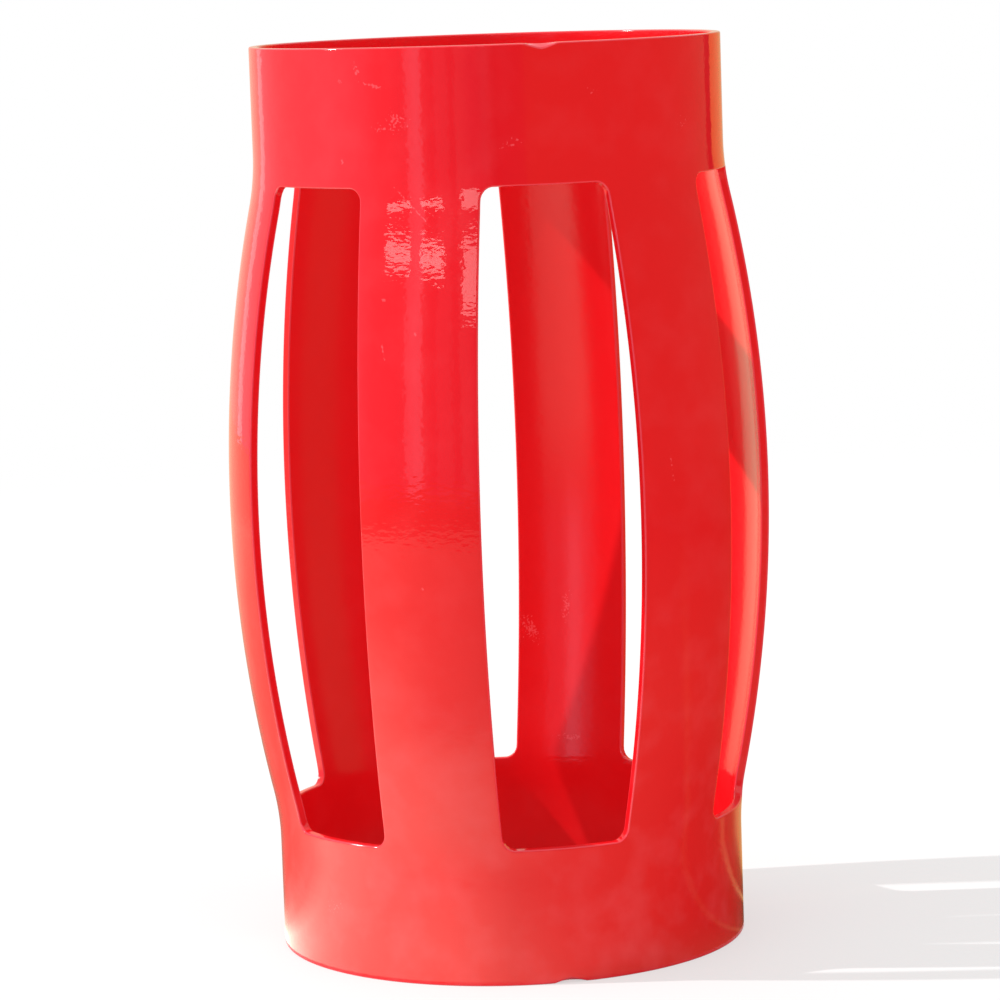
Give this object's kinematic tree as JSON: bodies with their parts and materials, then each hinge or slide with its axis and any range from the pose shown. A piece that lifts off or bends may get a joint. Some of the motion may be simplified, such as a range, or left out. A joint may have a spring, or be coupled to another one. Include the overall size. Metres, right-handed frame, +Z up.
{
  "type": "casing centralizer",
  "caption": "One-piece bow-spring casing centralizer: a painted steel sleeve whose wall is cut into outward bows between two plain collars.",
  "frame": {"origin": "centre of the lower rim's circle, on the plane the part stands on", "axes": "+Z up the casing's axis; the seam weld and the middle of one window face -Y"},
  "size_m": [0.218, 0.2078, 0.3635],
  "materials": {
    "red_paint": "gloss"
  },
  "bodies": {
    "root": {"centralizer": "red_paint"}
  },
  "joints": []
}
